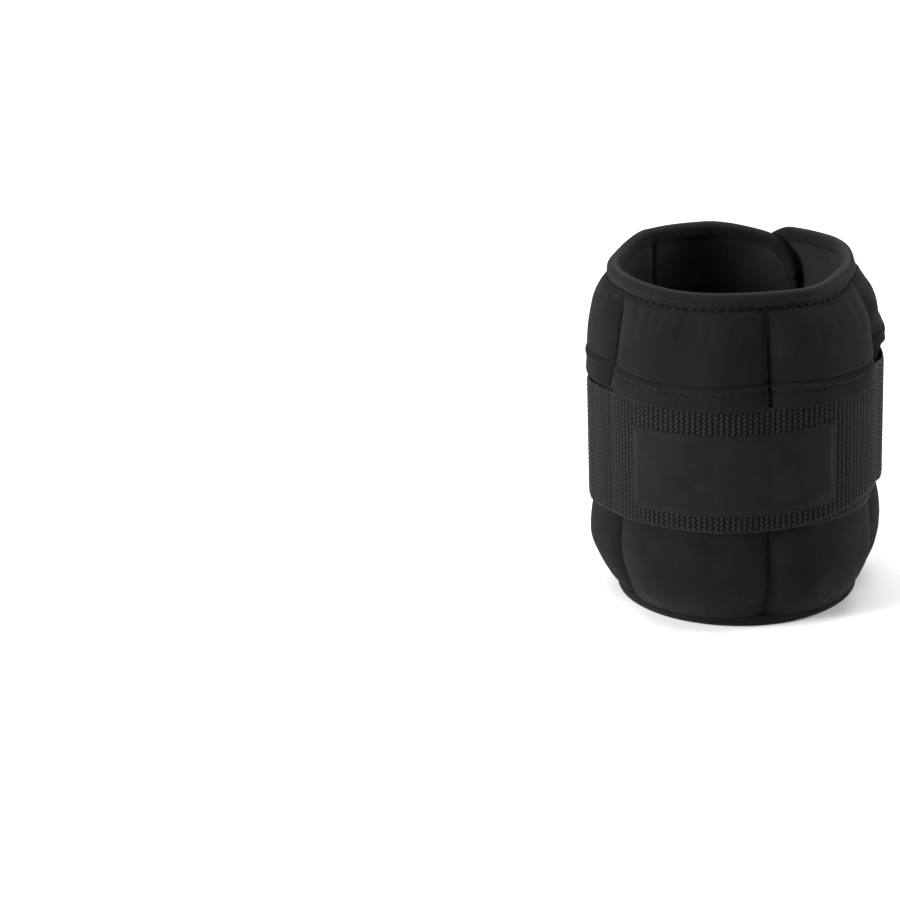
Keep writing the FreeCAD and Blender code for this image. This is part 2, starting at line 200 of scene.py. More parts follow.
def put_in_scene(name, data):
    """A new object that holds this mesh, light or camera."""
    item = bpy.data.objects.new(name, data)
    bpy.context.scene.collection.objects.link(item)
    return item


def build_mesh(name, verts, faces, normals, uvs, material, relief=None):
    """A mesh object from arrays. faces is a list of index arrays, each of one polygon size."""
    mesh = bpy.data.meshes.new(name)
    mesh.vertices.add(len(verts))
    mesh.vertices.foreach_set("co", (verts * MM).astype(np.float32).ravel())
    sizes = np.concatenate([np.full(len(f), f.shape[1]) for f in faces])
    loops = np.concatenate([f.ravel() for f in faces])
    mesh.loops.add(len(loops))
    mesh.loops.foreach_set("vertex_index", loops.astype(np.int32))
    mesh.polygons.add(len(sizes))
    starts = np.concatenate([[0], np.cumsum(sizes)[:-1]])
    mesh.polygons.foreach_set("loop_start", starts.astype(np.int32))
    mesh.update(calc_edges=True)
    layer = mesh.uv_layers.new(name="UVMap")
    layer.data.foreach_set("uv", (uvs[loops] * MM).astype(np.float32).ravel())
    mesh.polygons.foreach_set("use_smooth", np.ones(len(sizes), bool))
    if normals is not None:
        mesh.normals_split_custom_set_from_vertices(normals.astype(np.float32))
    # the relief height, which the webbing's colour turns into painted shade in gaps and a painted
    # highlight on loops
    if relief is not None:
        heights = mesh.attributes.new("relief", "FLOAT", "POINT")
        heights.data.foreach_set("value", relief.astype(np.float32))
    mesh.materials.append(material)
    return put_in_scene(name, mesh)


def grid_piece(name, grid, normals, uvs, material, relief=None):
    """One object from a slice of a swept grid, with its two ends capped."""
    columns, rows = grid.shape[:2]
    index = np.arange(columns * rows).reshape(columns, rows)
    following = np.roll(index, -1, 1)
    quads = np.stack([index[:-1], index[1:], following[1:], following[:-1]], -1).reshape(-1, 4)
    caps = np.stack([index[0], index[-1][::-1]])
    verts, norms, coords = (v.reshape(columns * rows, -1) for v in (grid, normals, uvs))
    raised = None if relief is None else relief.ravel()
    return build_mesh(name, verts, [quads, caps], norms, coords, material, raised)


def in_band(turns, band):
    """Which columns lie on a band, both ends included."""
    low, high = BAND_ENDS[band]
    return (turns >= low - 1e-6) & (turns <= high + 1e-6)


def stands_for(pattern, special):
    """Function giving the CAD nodes that a band's piece stands for. special goes by band."""
    return lambda band: special.get(band, [pattern.format(band + 1)])


def bend_with_band(item):
    """Bakes a piece's placement into its mesh."""
    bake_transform(item)


CROWDED = (0.15, 0.35, 0.6, 0.9, 1.4, 2.0)      # degrees from a crease to its nearest columns


def columns_for(start, end, step):
    """Plan angles from start to end, closer near the creases, and exactly at the bands' ends."""
    turns = list(np.arange(start, end, step)) + [end]
    for seam in CREASES:
        turns += [seam + side * gap for side in (-1, 1) for gap in CROWDED]
        turns.append(seam)
    turns = [t for t in turns if start <= t <= end]
    fixed = [middle for middle in MIDDLES if start < middle < end] + [start, end]
    turns = [t for t in turns if min(abs(t - c) for c in fixed) > step * 0.3]
    turns = np.array(sorted(turns + fixed))
    keep = np.concatenate([[True], np.diff(turns) > 1e-3])
    return turns[keep]


def wrap_grid(turns, out, height):
    """3D points from outward distance and height arrays of shape (columns, rows)."""
    plan = wrap_point(np.broadcast_to(turns[:, None], out.shape), out + tuck(turns[:, None], height))
    return at_height(plan, height)


def wrapped_pieces(
    name, turns, out, height, uvs, material, replaced, bands=BANDS, relief=None
):
    """Splits a swept layer at the pockets' middles, one piece for each seam that it crosses."""
    grid = wrap_grid(turns, out, height)
    normals = vertex_normals(grid)
    made = []
    for band in bands:
        inside = in_band(turns, band)
        item = grid_piece(
            f"{name}_{band + 1}", grid[inside], normals[inside], uvs[inside], material,
            relief=None if relief is None else relief[inside],
        )
        bend_with_band(item)
        nodes = replaced(band)
        if nodes:
            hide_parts(*nodes)
        made.append(item)
    return made


def loop_uv(turns, out, height, depth=POCKET_DEPTH):
    """UV in millimetres: along the wall, and round the section."""
    step = np.hypot(np.diff(out, axis=1), np.diff(height, axis=1))
    around = np.concatenate([np.zeros((len(turns), 1)), np.cumsum(step, 1)], 1)
    along = np.broadcast_to(wrap_length(turns, depth)[:, None], out.shape)
    return np.stack([along, around], -1)


def padded_pieces(
    name, turns, out, height, material, replaced, bands=BANDS, depth=POCKET_DEPTH
):
    """The pieces of a padded layer, its UV lengths measured this far (depth) outside the lining."""
    uv = loop_uv(turns, out, height, depth)
    for item in wrapped_pieces(name, turns, out, height, uv, material, replaced, bands):
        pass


# ------------------------------------------------------------------ materials
def new_material(name, base, roughness, sheen=0.0, metallic=0.0, specular=0.025):
    """A principled material whose constants sit on the shader's own sockets."""
    material = bpy.data.materials.new(name)
    material.use_nodes = True
    tree = material.node_tree
    shader = tree.nodes["Principled BSDF"]
    shader.inputs["Base Color"].default_value = (*base, 1)
    shader.inputs["Roughness"].default_value = roughness
    shader.inputs["Metallic"].default_value = metallic
    shader.inputs["Sheen Weight"].default_value = sheen
    shader.inputs["Sheen Roughness"].default_value = 0.5
    shader.inputs["Specular IOR Level"].default_value = specular
    return material, tree, shader


def socket_math(tree, operation, first, second=None):
    """A math node fed by sockets or numbers."""
    node = tree.nodes.new("ShaderNodeMath")
    node.operation = operation
    for place, value in enumerate((first, second)):
        if value is None:
            continue
        if isinstance(value, (int, float)):
            node.inputs[place].default_value = value
        else:
            tree.links.new(value, node.inputs[place])
    return node.outputs[0]


def uv_parts(tree):
    """The piece's own UV in metres: along the wall, and round the section."""
    uv = tree.nodes.new("ShaderNodeUVMap")
    parts = tree.nodes.new("ShaderNodeSeparateXYZ")
    tree.links.new(uv.outputs[0], parts.inputs[0])
    return parts.outputs[0], parts.outputs[1]


def wave(tree, position, pitch, operation="SINE"):
    """A sine or cosine that repeats at this pitch in millimetres."""
    turned = socket_math(tree, "MULTIPLY", position, math.tau / (pitch * MM))
    return socket_math(tree, operation, turned)


def grain(tree, kind, scale, output, detail=None):
    """A noise or cell pattern in the object's own space."""
    where = tree.nodes.new("ShaderNodeTexCoord")
    pattern = tree.nodes.new(kind)
    pattern.inputs["Scale"].default_value = scale
    if detail is not None:
        pattern.inputs["Detail"].default_value = detail
    tree.links.new(where.outputs["Object"], pattern.inputs["Vector"])
    return pattern.outputs[output]


def noise(tree, scale, detail):
    return grain(tree, "ShaderNodeTexNoise", scale, "Fac", detail)


def colour_ramp(tree, amount, stops, target):
    """Feeds a socket of the shader from two stops of (place, colour)."""
    ramp = tree.nodes.new("ShaderNodeValToRGB")
    for element, (place, colour) in zip(ramp.color_ramp.elements, stops):
        element.position = place
        element.color = (*colour, 1)
    tree.links.new(amount, ramp.inputs["Fac"])
    tree.links.new(ramp.outputs["Color"], target)


def bump(tree, shader, height, strength, distance):
    """Fine relief on the shader, this many millimetres deep."""
    node = tree.nodes.new("ShaderNodeBump")
    node.inputs["Strength"].default_value = strength
    node.inputs["Distance"].default_value = distance * MM
    tree.links.new(height, node.inputs["Height"])
    tree.links.new(node.outputs["Normal"], shader.inputs["Normal"])


def knit_height(tree, wale, course):
    """Height of a fine knit: columns of V stitches."""
    across, along = uv_parts(tree)
    column = wave(tree, across, wale, "COSINE")
    bow = socket_math(tree, "ABSOLUTE", wave(tree, across, 2 * wale))
    lean = socket_math(tree, "MULTIPLY", bow, 2.4)
    row = socket_math(tree, "MULTIPLY", along, math.tau / (course * MM))
    stitch = socket_math(tree, "SINE", socket_math(tree, "ADD", row, lean))
    total = socket_math(tree, "ADD", column, stitch)
    return socket_math(tree, "MULTIPLY", total, 0.25)


def cloth_material(name, dark, light, roughness, sheen, wale, course, depth):
    """Knitted cloth: stitch bump, soft mottling and a little fuzz."""
    material, tree, shader = new_material(name, dark, roughness, sheen)
    knit = knit_height(tree, wale, course)
    mottle = noise(tree, 60, 6)
    fibre = noise(tree, 2200, 2)
    amount = socket_math(tree, "ADD", mottle, knit)
    fuzz = socket_math(tree, "MULTIPLY", fibre, 0.35)
    amount = socket_math(tree, "ADD", amount, fuzz)
    colour_ramp(tree, amount, ((0.25, dark), (1.0, light)), shader.inputs["Base Color"])
    raised = socket_math(tree, "MULTIPLY", fibre, 0.8)
    bump(tree, shader, socket_math(tree, "ADD", knit, raised), 0.6, depth)
    return material


def webbing_material():
    """Ribbed webbing: painted shade in its gaps and a painted highlight on the raised loops, both set
    from the relief height, with fibres along each loop.
    """
    material, tree, shader = new_material("webbing", (0.01, 0.01, 0.01), 0.6, 0.03)
    raised = tree.nodes.new("ShaderNodeAttribute")
    raised.attribute_name = "relief"
    fibre = noise(tree, 1800, 3)
    strands = socket_math(tree, "MULTIPLY", fibre, 0.5)
    amount = socket_math(tree, "ADD", raised.outputs["Fac"], strands)
    # painted shade and highlight: near black where the relief height is low, lighter where it is high
    stops = ((0.5, (0.0008, 0.0008, 0.0008)), (1.0, (0.0150, 0.0150, 0.0154)))
    colour_ramp(tree, amount, stops, shader.inputs["Base Color"])
    bump(tree, shader, fibre, 0.5, 0.1)
    return material


def label_material():
    """Satin weave: fine lines along and across the patch, and a soft mottling."""
    material, tree, shader = new_material("satin_label", (0.0075, 0.0078, 0.0084), 0.5, 0.02)
    along, up = uv_parts(tree)
    warp, weft = wave(tree, along, 0.45), wave(tree, up, 0.6)
    stops = ((0.3, (0.0068, 0.0071, 0.0077)), (0.75, (0.0098, 0.0101, 0.0109)))
    colour_ramp(tree, noise(tree, 90, 5), stops, shader.inputs["Base Color"])
    bump(tree, shader, socket_math(tree, "ADD", warp, weft), 0.35, 0.08)
    return material


def metal_material():
    """Bright nickel plate with faint rub marks."""
    material, tree, shader = new_material("nickel", (0.72, 0.71, 0.69), 0.2, 0, 1.0, 0.5)
    stops = ((0.0, (0.12, 0.12, 0.12)), (1.0, (0.42, 0.42, 0.42)))
    colour_ramp(tree, noise(tree, 260, 6), stops, shader.inputs["Roughness"])
    return material


def grain_material(name, low, high, scale, roughness, metallic=0.0):
    """Loose grains or film, told apart by colour and bump."""
    material, tree, shader = new_material(name, low, roughness, 0, metallic)
    cells = grain(tree, "ShaderNodeTexVoronoi", scale, "Distance")
    colour_ramp(tree, cells, ((0.0, low), (1.0, high)), shader.inputs["Base Color"])
    bump(tree, shader, cells, 1.0, 0.3)
    return material


JERSEY = cloth_material(
    "jersey", (0.0033, 0.0034, 0.0035), (0.0106, 0.0107, 0.0110), 0.9, 0.03, 0.75, 0.7, 0.18
)
LINING = cloth_material(
    "lining_jersey", (0.0068, 0.0069, 0.0072), (0.0190, 0.0192, 0.0197), 0.95, 0.03, 0.8, 0.8, 0.18
)
TAPE = cloth_material(
    "edge_tape", (0.0035, 0.0036, 0.0037), (0.0105, 0.0106, 0.0109), 0.85, 0.04, 0.7, 0.9, 0.18
)
WEBBING = webbing_material()
HOOKS = cloth_material(
    "hook_tape", (0.006, 0.006, 0.006), (0.02, 0.02, 0.02), 0.5, 0.0, 0.5, 0.5, 0.1
)
THREAD = cloth_material(
    "thread", (0.002, 0.002, 0.002), (0.006, 0.006, 0.006), 0.7, 0.03, 0.3, 0.4, 0.03
)
LABEL = label_material()
NICKEL = metal_material()
FILM = grain_material("bag_film", (0.5, 0.5, 0.48), (0.66, 0.66, 0.63), 300, 0.35)
GRIT = grain_material("metal_grit", (0.05, 0.048, 0.045), (0.25, 0.24, 0.22), 900, 0.5, 0.8)


# ------------------------------------------------------------------ the wall's outlines
def edge_inset(turn):
    """How far the rounded free ends pull the top and bottom edges in, in millimetres."""
    inset = np.zeros_like(np.asarray(turn, float))
    for tip, depth, radius in ((INNER_TIP, 1.5, INNER_ROUND), (OUTER_TIP, 8.0, OUTER_ROUND)):
        away = np.abs(wrap_length(turn, depth) - wrap_length(tip, depth))
        gone = np.clip(radius - away, 0, radius)
        inset = np.maximum(inset, radius - np.sqrt(np.maximum(radius ** 2 - gone ** 2, 0)))
    return inset


def rim_sway(turn):
    """The rim isn't level: the inner lap rides up, then droops, and the outer lap sinks behind."""
    turn = np.asarray(turn, float)
    rides = 3.3 * smooth(-turn, 104, 134) - 7.2 * smooth(-turn, 164, 214)
    sinks = -9.0 * smooth(turn, 148, 170)
    return rides + sinks + 0.3 * np.sin(np.radians(5 * turn + 40)) * (1 - smooth(turn, 60, 110))


def settle(turn, height):
    """Height after the wall's upper part has followed its rim."""
    return height + rim_sway(turn) * smooth(height, HEIGHT - 45, HEIGHT - 4)


def tuck(turn, height):
    """How far the wall draws in towards the leg: at its foot, and at its rim above the lap."""
    foot = -3.4 * (1 - smooth(height, 0, 24))
    rim = 0.9 + 4.6 * smooth(turn, 30, 68) * (1 - smooth(turn, 92, 128))
    return foot - rim * smooth(height, HEIGHT - 18, HEIGHT)


# (height, how far out) over a pocket's middle and at its seams
FLAP_CROWN = curve([(87, 13.6), (92.5, 13.1), (97, 12.8), (103, 12.5), (110, 12.0), (116, 11.0),
                    (121, 9.6), (125, 7.8), (128, 6.2), (131, 4.4)])
FLAP_VALLEY = curve([(87, 12.3), (92.5, 11.3), (98, 9.5), (104, 8.0), (112, 6.6), (119, 5.6),
                     (125, 4.8), (131, 4.0)])
POUCH_CROWN = curve([(0, 3.6), (3.0, 4.6), (6, 7.2), (10, 9.6), (16, 11.4), (24, 12.0), (31, 11.9),
                     (37, 11.3), (42, 10.2), (46, 9.3), (66, 9.0), (94, 9.0), (117, 8.0)])
POUCH_VALLEY = curve([(0, 3.4), (4, 3.8), (10, 5.0), (18, 6.2), (28, 6.8), (36, 6.8), (43, 6.6),
                      (66, 6.4), (94, 6.4), (117, 6.0)])
HEM_EDGE = 91.3             # the flap's lower edge
HEM_LINE = HEM_EDGE + 9.8   # where the cloth bends over the hem's fold
HEM_STITCH = HEM_EDGE + 6.6
RIM_STITCH = HEIGHT - 5.9


def pocket_blend(turn, power):
    """1 over a pocket's middle and 0 at its seams, and millimetres to the nearest seam."""
    place, away = across_pocket(turn)
    return 1 - np.abs(place) ** power, away


def flap_out(turn, height):
    """Outer face of the pockets' upper cloth, drawn in at its seams, hem line and stitches. It
    is also drawn in forward of the outer lap's seam, and lies flatter behind it."""
    share, away = pocket_blend(turn, 2.5)
    out = FLAP_VALLEY(height) + (FLAP_CROWN(height) - FLAP_VALLEY(height)) * share
    free = 1 - smooth(height, HEIGHT - 12, HEIGHT - 4)
    out = out - free * (2.5 * np.exp(-away / 3.6) + 1.3 * bell(away, 0.6))
    drawn = 2.8 - 2.0 * smooth(height, HEM_LINE, HEM_LINE + 16)
    out = out - drawn * free * bell(turn - LAP_CREASE, 8)
    lap = smooth(turn, 80, 94) * (1 - smooth(turn, 120, 142)) * smooth(height, HEM_LINE, HEM_LINE + 8)
    out = out - 1.6 * free * lap
    along = wrap_length(turn)
    pucker = np.exp(-away / 7) * smooth(away, 3, 7) * free
    out += 0.6 * pucker * ripple(along * 0.35, height, 11, 3)
    out += 0.32 * ripple(along, height, 34, 5) * free
    rim_pull = smooth(height, HEIGHT - 22, HEIGHT - 9) * free
    out += 0.25 * rim_pull * ripple(along, height * 0.2, 6, 17)
    out -= 1.1 * bell(height - HEM_LINE, 0.75)
    out += 0.55 * bell(height - HEM_LINE + 1.9, 1.1)
    out -= 0.3 * bell(height - HEM_STITCH, 0.6)
    out -= 1.3 * bell(height - RIM_STITCH, 1.0)
    return np.maximum(out, PANEL + 0.3)


def pouch_out(turn, height):
    """Outer face of the pockets' lower cloth, drawn in at its seams and foot."""
    share, away = pocket_blend(turn, 2.5)
    out = POUCH_VALLEY(height) + (POUCH_CROWN(height) - POUCH_VALLEY(height)) * share
    low = smooth(height, 2, 12) * (1 - smooth(height, 40, 48))
    out = out - low * (2.3 * np.exp(-away / 3.2) + 0.5 * bell(away, 0.8))
    along = wrap_length(turn)
    pucker = np.exp(-away / 7) * smooth(away, 3, 7) * low
    out += 0.45 * pucker * ripple(along * 0.35, height, 9, 8)
    foot = (1 - smooth(height, 9, 18)) * smooth(height, 2, 6)
    out += 0.12 * foot * ripple(along, height * 0.2, 9, 19)
    return np.maximum(out + 0.35 * low * ripple(along, height, 30, 9), PANEL + 0.2)


def base_strap_out(turn):
    """Inner face of the sewn strap, on the pockets."""
    share, _ = pocket_blend(turn, 2.0)
    return 7.0 + 2.3 * share


def tail_out(turn):
    """Inner face of the folded-back strap, which lifts over the hook tape near its tip."""
    share, _ = pocket_blend(turn, 2.0)
    lift = 0.6 * (1 - smooth(turn, -80, -73))
    return 8.8 + 2.1 * share + lift


def tail_rise(turn):
    """How far the folded-back strap runs up the cuff: it is wrapped slightly askew."""
    turn = np.asarray(turn, float)
    down = -4.5 * smooth(-turn, 20, 100)
    up = 5.6 * smooth(turn, 10, 66) - 3.0 * smooth(turn, 66, 92)
    return down + up - 2.6 * smooth(turn, 125, 205)


def base_rise(turn):
    """The sewn strap's upper edge rides up where the outer lap begins."""
    turn = np.asarray(turn, float)
    return 1.5 * smooth(turn, 71, 90) * (1 - smooth(turn, 106, 160))


def hem_rise(turn):
    """The hem is pushed up by the straps at the outer lap, and by the ring."""
    turn = np.asarray(turn, float)
    lap = 9.5 * smooth(turn, 76.5, 86) * (1 - smooth(turn, 108, 138))
    return lap + 6.5 * (1 - smooth(np.abs(turn - RING_TURN), 7, 20))


# ------------------------------------------------------------------ woven strap
RIB_PITCH = 2.15
CELL_PITCH = 1.8
WEAVE_DEEP = 0.5            # height of the ribs on the folded-back strap
WEAVE_LOW = 0.4             # and on the sewn one under it
WEAVE_BENT = 0.45           # and where webbing bends round the ring
PLAIN_EDGE, RIBBED_FROM = 0.7, 1.5      # from a strap's edges, where the ribs fade in
EDGE_ROUND = 0.5
LOOP_STEP = 0.42            # degrees between columns, fine enough to show the loops
STRAP_ROWS = 126            # rows across the strap's face
BACK_SKIP = 9               # its plain back has one row for this many


def weave(along, up):
    """Height of the strap's ribs: columns of slanting loops, every other one leaning back."""
    rib = along / RIB_PITCH
    column = np.floor(rib)
    inside = rib - column - 0.5
    lean = np.where(column % 2 == 0, 0.5, -0.5)
    cell = up / CELL_PITCH + lean * inside * 1.6 + 0.5 * (column % 2)
    loop = 0.5 + 0.5 * np.cos(math.tau * cell)
    ridge = np.cos(math.pi * inside)
    return 0.4 * ridge + 0.3 * loop + 0.3 * ridge * loop


def across_strap(wide, rows):
    """Rows across a strap: height, distance to its edge, how ribbed and how full it is there."""
    up = np.linspace(0, 1, rows)[None] * wide
    edge = np.minimum(up, wide - up)
    ribbed = smooth(edge, PLAIN_EDGE, RIBBED_FROM)
    side = np.sqrt(np.clip(1 - (1 - np.minimum(edge / EDGE_ROUND, 1)) ** 2, 0, 1))
    return up, edge, ribbed, side


def strap_section(turns, inner, low, relief):
    """Out, height, UV and relief arrays of one strap layer: woven outside, plain inside."""
    up, edge, ribbed, side = across_strap(STRAP_WIDE, STRAP_ROWS)
    along = wrap_length(turns, 11)[:, None]
    woven = weave(along, up) * ribbed
    cord = 0.1 * bell(edge - 0.45, 0.35)
    half = STRAP_THICK * 0.5
    out_face = inner[:, None] + half + half * side + relief * (woven - 0.55) + cord
    wander = 0.25 * ripple(along, 0 * along, 22, 12)
    out_high = low[:, None] + up + wander * (2 * up / STRAP_WIDE - 1) * 0.6
    in_face = inner[:, None] + half - half * side[:, ::-1][:, ::BACK_SKIP]
    in_high = low[:, None] + up[:, ::-1][:, ::BACK_SKIP] + 0 * along
    out = np.concatenate([out_face, in_face], 1)
    height = np.concatenate([out_high, in_high], 1)
    uv = np.stack([np.broadcast_to(along, out.shape), height], -1)
    # relief height that the webbing's colour turns into painted shade in the gaps and a painted
    # highlight on the loops; the plain edge and the back get set values
    raised = np.concatenate([woven + (1 - ribbed) * 0.6, 0.5 + 0 * in_face], 1)
    return out, height, uv, raised


# ------------------------------------------------------------------ layers of the wall
def make_panel():
    """The lining and its foam, inside the edge tape, drawn in from the leg at each seam."""
    turns = columns_for(INNER_TIP + 0.6, OUTER_TIP - 0.6, 1.2)
    inset = edge_inset(turns)[:, None]
    _, away = across_pocket(turns)
    top = HEIGHT - 2.2 - inset
    low = 2.2 + inset
    back = np.linspace(0, 1, 12)[None]
    face = np.linspace(1, 0, 46)[None]
    inner = 0.9 * bell(away, 1.6)[:, None]
    inner = inner + 0.25 * ripple(wrap_length(turns, 0)[:, None], face * 130, 28, 2)
    out = np.concatenate([PANEL + 0 * (top + back), inner], 1)
    height = settle(turns[:, None], low + (top - low) * np.concatenate([back, face], 1))
    nodes = stands_for("back_panel_{}", {
        0: ["inner_end_panel", "back_panel_1"], LAST_BAND: ["outer_end_panel"]})
    padded_pieces("panel", turns, out, height, LINING, nodes, depth=0)


def make_pouch():
    """Lower cloth of the pockets. Behind the flap it lies just inside the flap's cloth."""
    turns = columns_for(SEAMS[0], SEAMS[-1], 1.1)
    bottom, top = 1.6, 117
    rows = np.concatenate([np.linspace(bottom, 47, 56), np.linspace(49, top, 20)])[None]
    outer = pouch_out(turns[:, None], rows)
    under_flap = flap_out(turns[:, None], rows) - 1.2
    outer = np.where(rows > HEM_EDGE - 6, np.clip(outer, PANEL - 0.3, under_flap), outer)
    back = np.linspace(top, bottom, 8)[None]
    inner = np.full((len(turns), 8), PANEL - 0.8)
    out = np.concatenate([outer, inner], 1)
    high = np.concatenate([rows + 0 * outer, back + 0 * inner], 1)
    nodes = stands_for("pocket_{}", {LAST_BAND: []})
    padded_pieces("pouch", turns, out, high, JERSEY, nodes)


def make_bags():
    """Each pocket's film bag, and the grit in it, follow the pocket cloth just inside it."""
    for k, (low, high) in enumerate(zip(CREASES, CREASES[1:]), start=1):
        for kind, inset, material, slot in (
            ("bag", 0.0, FILM, "bag_film"), ("fill", 0.5, GRIT, "metal_grit"),
        ):
            near, far = low + BAG_GAP + inset, high - BAG_GAP - inset
            turns = np.concatenate([np.linspace(near, MIDDLES[k - 1], 31),
                                    np.linspace(MIDDLES[k - 1], far, 31)[1:]])
            rows = np.linspace(BAG_LOW + inset, BAG_HIGH - inset, 50)[None]
            crumple = 0.25 * ripple(wrap_length(turns)[:, None], rows, 12, 40 + k)
            outer = pouch_out(turns[:, None], rows) - 2.0 - inset + crumple * (kind == "bag")
            outer = np.maximum(outer, PANEL + 0.6)
            inner = np.full((len(turns), 8), PANEL + 0.2 + inset / 2)
            back = np.linspace(BAG_HIGH - inset, BAG_LOW + inset, 8)[None]
            out = np.concatenate([outer, inner], 1)
            height = np.concatenate([rows + 0 * outer, back + 0 * inner], 1)
            padded_pieces(
                f"{kind}_{k}_half", turns, out, height, material,
                lambda band: [f"weight_{kind}_{k}"], bands=(k - 1, k),
            )


def make_flap():
    """Upper cloth of the pockets, open at its hem, where it is turned up and stitched."""
    turns = columns_for(SEAMS[0], SEAMS[-1], 1.1)
    _, away = across_pocket(turns)
    wander = 0.35 * ripple(wrap_length(turns), 0, 26, 21)
    edge = (HEM_EDGE + hem_rise(turns) + 0.8 * np.exp(-away / 3) + wander)[:, None]
    top = HEIGHT - 3.4
    thick, fold = 2.4, 1.0          # of the hem, and how far its rounded edge reaches down

    def shaped(height):
        """The face is drawn for a level hem, then squeezed up where the hem is pushed up."""
        push = edge - HEM_EDGE
        flat = height - push * (1 - smooth(height, HEIGHT - 45, HEIGHT - 10))
        return flap_out(turns[:, None], flat)

    share = np.linspace(0, 1, 96)[None]
    high = edge + fold + (top - edge - fold) * share
    outer = shaped(high)
    curl = np.radians(np.linspace(15, 165, 7))[None]
    round_out = outer[:, :1] - thick / 2 + thick / 2 * np.cos(curl)
    round_high = edge + fold - fold * np.sin(curl)
    inner_share = np.linspace(0.01, 1, 18)[None]
    inner_high = edge + fold + (top - edge - fold) * inner_share
    inner = np.minimum(shaped(inner_high), outer[:, :1] + 1.5) - thick
    gather = smooth(inner_share, 0.7, 1)
    inner = np.maximum(inner * (1 - gather) + (PANEL - 0.5) * gather, PANEL - 0.5)
    out = np.concatenate([outer[:, ::-1], round_out, inner], 1)[:, ::-1]
    height = np.concatenate([high[:, ::-1], round_high, inner_high], 1)[:, ::-1]
    height = settle(turns[:, None], height)
    nodes = stands_for("pocket_flap_{}", {LAST_BAND: []})
    padded_pieces("flap", turns, out, height, JERSEY, nodes)


def strap_layer(name, turns, inner, low, relief, nodes, bands=BANDS):
    """One sewn or folded-back strap layer over a stretch of the wall."""
    out, height, uv, raised = strap_section(turns, inner(turns), low(turns), relief)
    for item in wrapped_pieces(
        name, turns, out, height, uv, WEBBING, nodes, bands, raised
    ):
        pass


def sewn_low(turn):
    return STRAP_LOW + base_rise(turn)


def folded_low(turn):
    return STRAP_LOW + tail_rise(turn)


def make_straps():
    """The sewn strap on the pockets, and the strap folded back over it from the ring."""
    tacked = {band: [f"base_strap_{band + 1}", f"seam_tacks_{band + 1}"] for band in range(1, 5)}
    base_nodes = stands_for("base_strap_{}", {**tacked, LAST_BAND: ["base_strap_outer_end"]})
    tail_nodes = stands_for("tail_strap_{}", {
        1: ["tail_strap_1", "tail_strap_2"], LAST_BAND: ["tail_strap_outer_end"]})
    turns = columns_for(SEAMS[0] + 1.0, STRAP_END, 0.6)
    strap_layer("sewn_strap", turns, base_strap_out, sewn_low, WEAVE_LOW, base_nodes)
    turns = columns_for(TIP_ROOT + TIP_OVERLAP, STRAP_END, LOOP_STEP)
    strap_layer("folded_strap", turns, tail_out, folded_low, WEAVE_DEEP, tail_nodes,
                bands=BANDS[1:])


def make_tip():
    """The strap's last stretch, from its tip to just past its root, which peels off a little near its
    tip.
    """
    end = TIP_ROOT + TIP_OVERLAP
    turns = np.concatenate([np.arange(TIP_START, end, LOOP_STEP), [end]])
    out, height, uv, raised = strap_section(turns, tail_out(turns), folded_low(turns), WEAVE_DEEP)
    grid = wrap_grid(turns, out, height)
    item = grid_piece("strap_tip_webbing", grid, vertex_normals(grid), uv, WEBBING, raised)
    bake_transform(item)
    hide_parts("strap_tip")


def make_hook():
    """Hook tape sewn under the strap's tip: a field of small hooks on a thin band."""
    turns = np.arange(TIP_START + 0.5, TIP_ROOT - 1.0, 0.5)
    rows = np.arange(2.5, STRAP_WIDE - 2.5, 0.5)[None]
    up = rows + folded_low(turns)[:, None]
    back = tail_out(turns)[:, None] + 0.15
    pace = math.tau / 1.3
    bristle = np.cos(wrap_length(turns)[:, None] * pace) * np.cos(rows * pace)
    face = back - 0.5 - 0.25 * bristle
    out = np.concatenate([np.broadcast_to(back, face.shape), face[:, ::-1]], 1)
    high = np.concatenate([up, up[:, ::-1]], 1)
    grid = wrap_grid(turns, out, high)
    uv = loop_uv(turns, out, high)
    item = grid_piece("hook_tape", grid, vertex_normals(grid), uv, HOOKS)
    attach(item, "strap_tip")
    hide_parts("hook_patch")


LABEL_FROM, LABEL_TO = -43.0, 40.0
LABEL_LOW, LABEL_HIGH = 49.5, 82.0


def make_label():
    """The blank satin patch: a flat border, and a middle that swells a little."""
    turns = columns_for(LABEL_FROM, LABEL_TO, 0.8)
    rows = np.linspace(0, 1, 40)[None]
    up = rows * (LABEL_HIGH - LABEL_LOW)
    along = (wrap_length(turns, 13) - wrap_length(LABEL_FROM, 13))[:, None]
    length = along[-1, 0]
    border = np.minimum(np.minimum(up, up[:, ::-1]), np.minimum(along, length - along))
    swell = 0.2 * smooth(border, 0.0, 0.7) + 0.5 * smooth(border, 1.5, 2.8)
    base = tail_out(turns)[:, None] + STRAP_THICK
    outer = base + 0.25 + swell + 0.06 * ripple(along, up, 9, 31)
    height = LABEL_LOW + tail_rise(turns)[:, None] * 0.7 + up + 0 * along
    inner = np.broadcast_to(base - 0.3, (len(turns), 2))
    out = np.concatenate([outer, inner], 1)
    high = np.concatenate([height, height[:, [-1, 0]]], 1)
    uv = np.stack([np.broadcast_to(along, out.shape), high], -1)
    nodes = {1: ["label_left"], 2: ["label_right"]}
    for item in wrapped_pieces(
        "label_cloth", turns, out, high, uv, LABEL, nodes.get,
        bands=nodes,
    ):
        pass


# ------------------------------------------------------------------ edge tape
TAPE_SIDE, TAPE_UP = 2.6, 2.5       # half sizes of the folded tape
TAPE_OUT = 2.3                      # its centre line, outside the lining
TAPE_CENTRE = 1.7                   # and where it is drawn in to on the free end
TAPE_STEP = 0.75                    # further out where the pockets are


